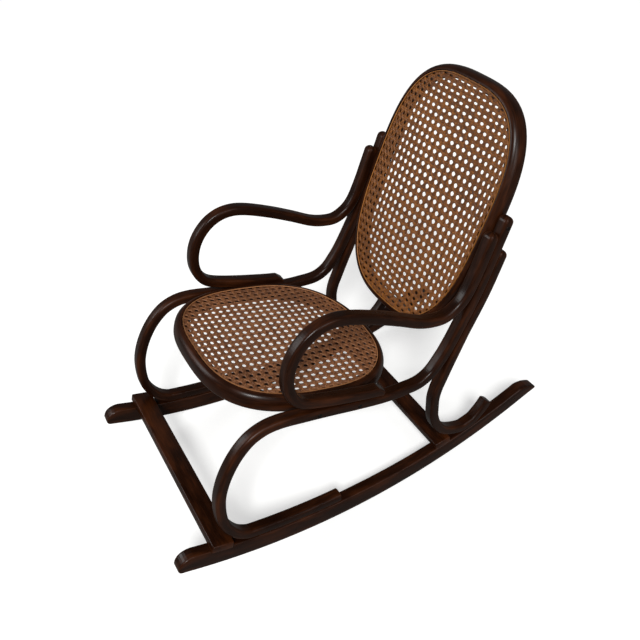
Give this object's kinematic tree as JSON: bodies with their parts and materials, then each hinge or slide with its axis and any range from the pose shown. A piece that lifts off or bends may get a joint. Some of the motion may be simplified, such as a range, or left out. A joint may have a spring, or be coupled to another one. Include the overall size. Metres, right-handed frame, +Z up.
{
  "type": "rocking chair",
  "caption": "Small bentwood rocking chair with looped arms, curled rear legs, long curved rockers and a woven cane seat and back.",
  "frame": {"origin": "middle of the bounding box at the floor", "axes": "+Z up, the chair faces -Y, +X to the right of someone who looks at its front"},
  "size_m": [0.3742, 0.706, 0.6083],
  "materials": {
    "bentwood": "dark stained and polished",
    "seat_cane": "woven cane, faded",
    "back_cane": "woven cane, amber",
    "steel": "blackened"
  },
  "bodies": {
    "root": {"right_rocker": "bentwood", "right_frame_rod": "bentwood", "right_arm_rod": "bentwood", "right_rear_leg": "bentwood", "right_back_bolt": "steel", "right_front_seat_bolt": "steel", "right_rear_seat_bolt": "steel", "left_rocker": "bentwood", "left_frame_rod": "bentwood", "left_arm_rod": "bentwood", "left_rear_leg": "bentwood", "left_back_bolt": "steel", "left_front_seat_bolt": "steel", "left_rear_seat_bolt": "steel", "front_stretcher": "bentwood", "rear_stretcher": "bentwood", "seat_ring": "bentwood", "seat_cane": "seat_cane", "seat_binder": "seat_cane", "back_ring": "bentwood", "back_cane": "back_cane", "back_binder": "back_cane"}
  },
  "joints": []
}
